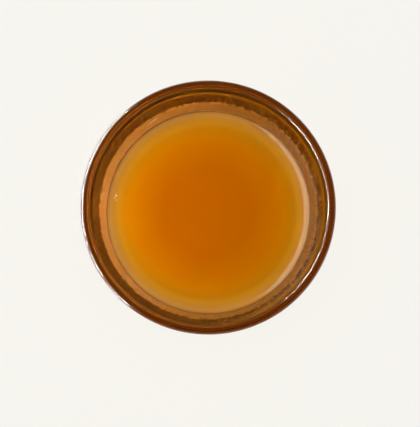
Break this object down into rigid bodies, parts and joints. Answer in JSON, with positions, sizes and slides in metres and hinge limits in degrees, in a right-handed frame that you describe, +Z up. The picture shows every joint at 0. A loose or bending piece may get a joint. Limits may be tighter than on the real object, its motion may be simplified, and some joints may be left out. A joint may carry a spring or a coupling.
{
  "type": "cup of arabic coffee",
  "caption": "Small handleless tapering glass cup with a rounded lip and heavy base, filled to two thirds of its height with golden cloudy Arabic coffee.",
  "frame": {"origin": "middle of the foot, on the surface that the cup stands on", "axes": "+Z up along the cup's axis; the cup is round, so X and Y are free"},
  "size_m": [0.0622, 0.0622, 0.05],
  "materials": {
    "cup": "clear pale amber-brown pressed glass, smooth and glossy",
    "coffee": "cloudy golden-amber liquid with a mirror-smooth surface"
  },
  "bodies": {
    "root": {"cup": "cup", "coffee": "coffee"}
  },
  "joints": []
}
